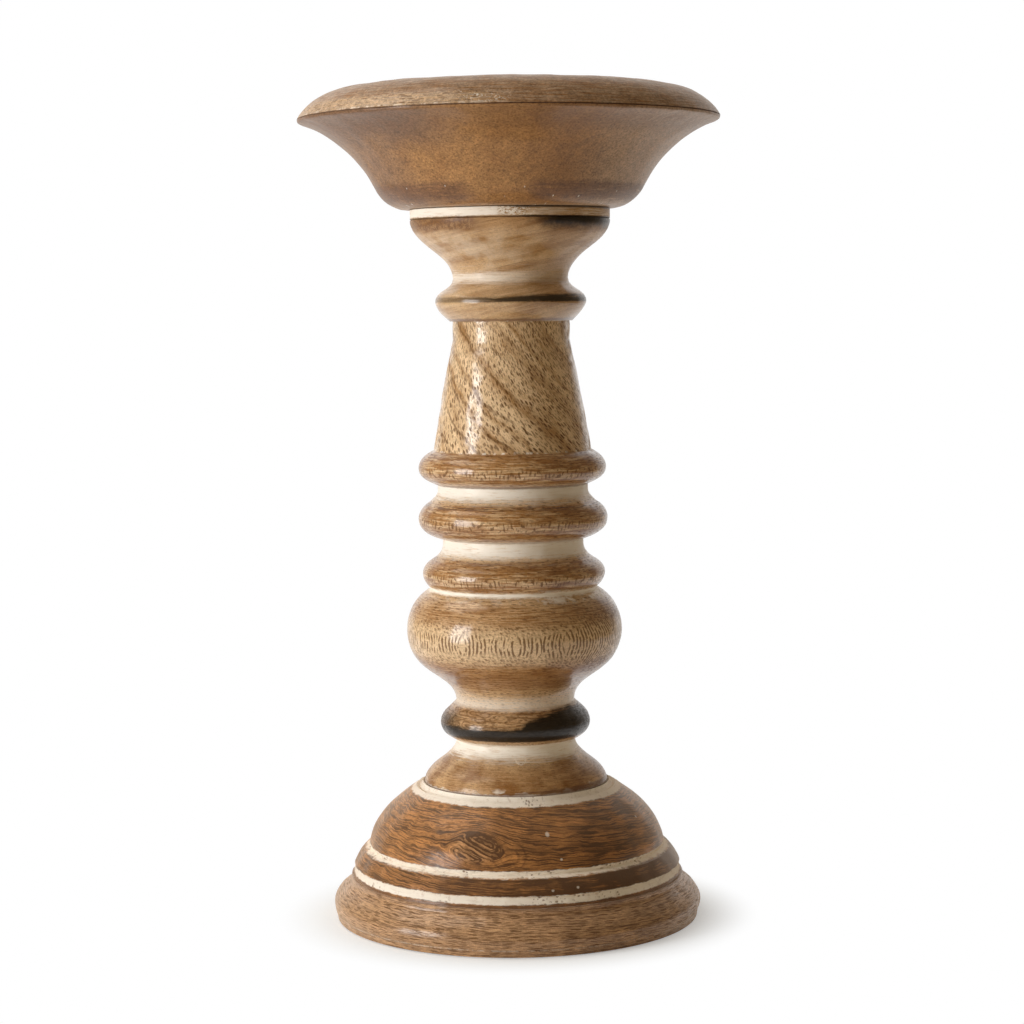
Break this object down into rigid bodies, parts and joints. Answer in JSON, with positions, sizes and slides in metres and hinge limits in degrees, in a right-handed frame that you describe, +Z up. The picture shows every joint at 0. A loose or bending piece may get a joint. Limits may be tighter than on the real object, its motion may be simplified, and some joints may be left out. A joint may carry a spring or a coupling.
{
  "type": "wooden candlestick",
  "caption": "Turned wooden pillar candlestick: a wide flared dish on a beaded column with a vase-shaped bulb, on a round domed base, lime washed in its grooves and coves.",
  "frame": {"origin": "on the axis of the turning, at the level of the surface that the candlestick stands on", "axes": "+Z up along the axis of the turning"},
  "size_m": [0.152, 0.152, 0.3016],
  "materials": {
    "dish_wood": "brown-stained hardwood, satin lacquer",
    "column_wood": "tan hardwood with dark pores and lime wash in the coves, satin lacquer",
    "base_wood": "reddish brown hardwood with lime wash in the grooves, satin lacquer",
    "dowel_wood": "bare beech",
    "zinc_steel": "bright zinc plate",
    "dark_felt": "pressed wool felt"
  },
  "bodies": {
    "root": {"candle_dish": "dish_wood", "column": "column_wood", "base": "base_wood", "dish_dowel": "dowel_wood", "base_screw": "zinc_steel", "base_washer": "zinc_steel", "felt_disc": "dark_felt"}
  },
  "joints": []
}
